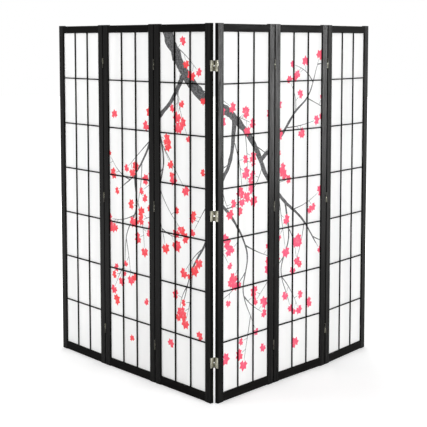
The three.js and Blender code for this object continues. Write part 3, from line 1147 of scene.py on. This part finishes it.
def screw_points(number):
    """Where the screws of a panel's hinge leaves sit, and the way their heads face."""
    half = HINGE_HEIGHT / 2
    leaf_face = -SEAM_GAP / 2 + LEAF_SEAT + LEAF_THICKNESS
    plates = {"leaf": leaf_face, "link": leaf_face + LINK_THICKNESS}
    spots = [
        (plates[plate], FRAME_DEPTH * inward, half * upward)
        for plate, inward, upward in SCREW_SPOTS
    ]
    for seam in (number - 1, number):
        if 1 <= seam < len(PANELS):
            for _, panel, place in hinge_places(seam):
                if panel == number:
                    facing = (place.to_3x3() @ Vector((1, 0, 0))).normalized()
                    for spot in spots:
                        yield place @ Vector(spot), facing


def add_screws():
    """The screws of each panel's hinges, one mesh for each panel."""
    tree, sockets = screws_tree()
    head = screw_head()
    for number in PANELS:
        spots = list(screw_points(number))
        name = f"panel_{number}_hinge_screws"
        base = bpy.data.meshes.new(name + "_points")
        base.from_pydata([spot for spot, _ in spots], [], [])
        facing = base.attributes.new("facing", "FLOAT_VECTOR", "POINT")
        facing.data.foreach_set("vector", [value for _, way in spots for value in way])
        mesh = grown(name, tree, sockets, {"Head": head, "Seed": number, "Brass": SCREW_BRASS}, base)
        add_piece(name, mesh, f"panel_{number}", None)
    bpy.data.objects.remove(head)


# ---- floor, light, background ------------------------------------------------------------

FLOOR_REACH = 30.0
FLOOR_LEVEL = -0.5 * MM
FLOOR_GREY = (0.85, 0.85, 0.85, 1)
GLOW_NEAR = (1.0, 0.34)              # distance from the screen's middle and strength there
GLOW_FAR = (3.5, 0.95)
WORLD_LEFT = 0.55                    # strength of the light from the left and from the right
WORLD_RIGHT = 0.60
LAMPS = [
    # name, place, aim, size, power, whether only gloss shows it
    ("left_softbox", (-4.6, -0.6, 1.9), (-0.4, 0, 0.9), (2.2, 2.6), 76.0, False),
    ("right_softbox", (6.0, -5.3, 2.1), (0.4, 0, 0.9), (2.0, 3.0), 206.0, False),
    ("right_sheen", (9.3, 1.5, 2.3), (0.4, 0, 0.9), (2.0, 4.6), 800.0, True),
    ("front_softbox", (0.3, -6.0, 2.6), (0, 0, 0.9), (2.0, 2.0), 60.0, False),
    ("back_softbox", (0.0, 6.5, 2.4), (0, 0, 0.9), (3.0, 2.6), 210.0, False),
]


def is_seen(tree):
    """1 for rays that come from the camera, a reflection or clear glass."""
    path = tree.nodes.new("ShaderNodeLightPath")
    seen = math_node(tree, "MAXIMUM", path.outputs["Is Camera Ray"], path.outputs["Is Glossy Ray"])
    return math_node(tree, "MAXIMUM", seen, path.outputs["Is Transmission Ray"])


def add_floor():
    """A plain pale floor that shows white and keeps the object's shadow."""
    mesh = bpy.data.meshes.new("floor")
    edge = rectangle(-FLOOR_REACH, -FLOOR_REACH, FLOOR_REACH, FLOOR_REACH)
    mesh.from_pydata([(*corner, FLOOR_LEVEL) for corner in edge], [], [(0, 1, 2, 3)])
    floor = bpy.data.objects.new("floor", mesh)
    bpy.context.scene.collection.objects.link(floor)
    material = bpy.data.materials.new("pale_floor")
    material.use_nodes = True
    tree = material.node_tree
    tree.nodes.clear()
    diffuse = put(tree, "ShaderNodeBsdfDiffuse")
    diffuse.inputs["Color"].default_value = FLOOR_GREY
    glow = put(tree, "ShaderNodeEmission")
    where = put(tree, "ShaderNodeTexCoord")
    away = put(tree, "ShaderNodeVectorMath", operation="LENGTH")
    wire(tree, (where, "Object", away, 0))
    paler = ranged(tree, away.outputs["Value"], GLOW_NEAR[0], GLOW_FAR[0], GLOW_NEAR[1], GLOW_FAR[1])
    tree.links.new(math_node(tree, "MULTIPLY", is_seen(tree), paler), glow.inputs["Strength"])
    total = put(tree, "ShaderNodeAddShader")
    out = put(tree, "ShaderNodeOutputMaterial")
    wire(tree, (diffuse, 0, total, 0), (glow, 0, total, 1), (total, 0, out, 0))
    mesh.materials.append(material)


def add_world():
    """White where it is seen; a plain light elsewhere, a little dimmer on the left."""
    world = bpy.data.worlds.new("studio")
    bpy.context.scene.world = world
    world.use_nodes = True
    tree = world.node_tree
    tree.nodes.clear()
    where = put(tree, "ShaderNodeTexCoord")
    axes = put(tree, "ShaderNodeSeparateXYZ")
    wire(tree, (where, "Generated", axes, 0))
    side = ranged(tree, axes.outputs["X"], -1.0, 1.0, WORLD_LEFT, WORLD_RIGHT)
    strength = math_node(tree, "MAXIMUM", side, is_seen(tree))
    sky = put(tree, "ShaderNodeBackground")
    sky.inputs["Color"].default_value = (1, 1, 1, 1)
    tree.links.new(strength, sky.inputs["Strength"])
    out = put(tree, "ShaderNodeOutputWorld")
    wire(tree, (sky, 0, out, 0))


def add_softbox(name, place, aim, size, power, reflected):
    """A soft lamp that either lights the surfaces or only shows in their gloss."""
    lamp = bpy.data.lights.new(name, "AREA")
    lamp.shape = "RECTANGLE"
    lamp.size, lamp.size_y = size
    lamp.energy = power
    box = bpy.data.objects.new(name, lamp)
    box.location = place
    box.rotation_euler = (Vector(aim) - Vector(place)).to_track_quat("-Z", "Y").to_euler()
    box.visible_glossy = reflected
    box.visible_diffuse = not reflected
    bpy.context.scene.collection.objects.link(box)


# ---- the screen --------------------------------------------------------------------------

add_camera()
for panel in PANELS:
    add_frame(panel)
    add_lattice(panel)
    add_paper(panel)
add_hinges()
add_screws()
add_floor()
add_world()
for lamp in LAMPS:
    add_softbox(*lamp)
bpy.context.scene.view_settings.view_transform = "Standard"
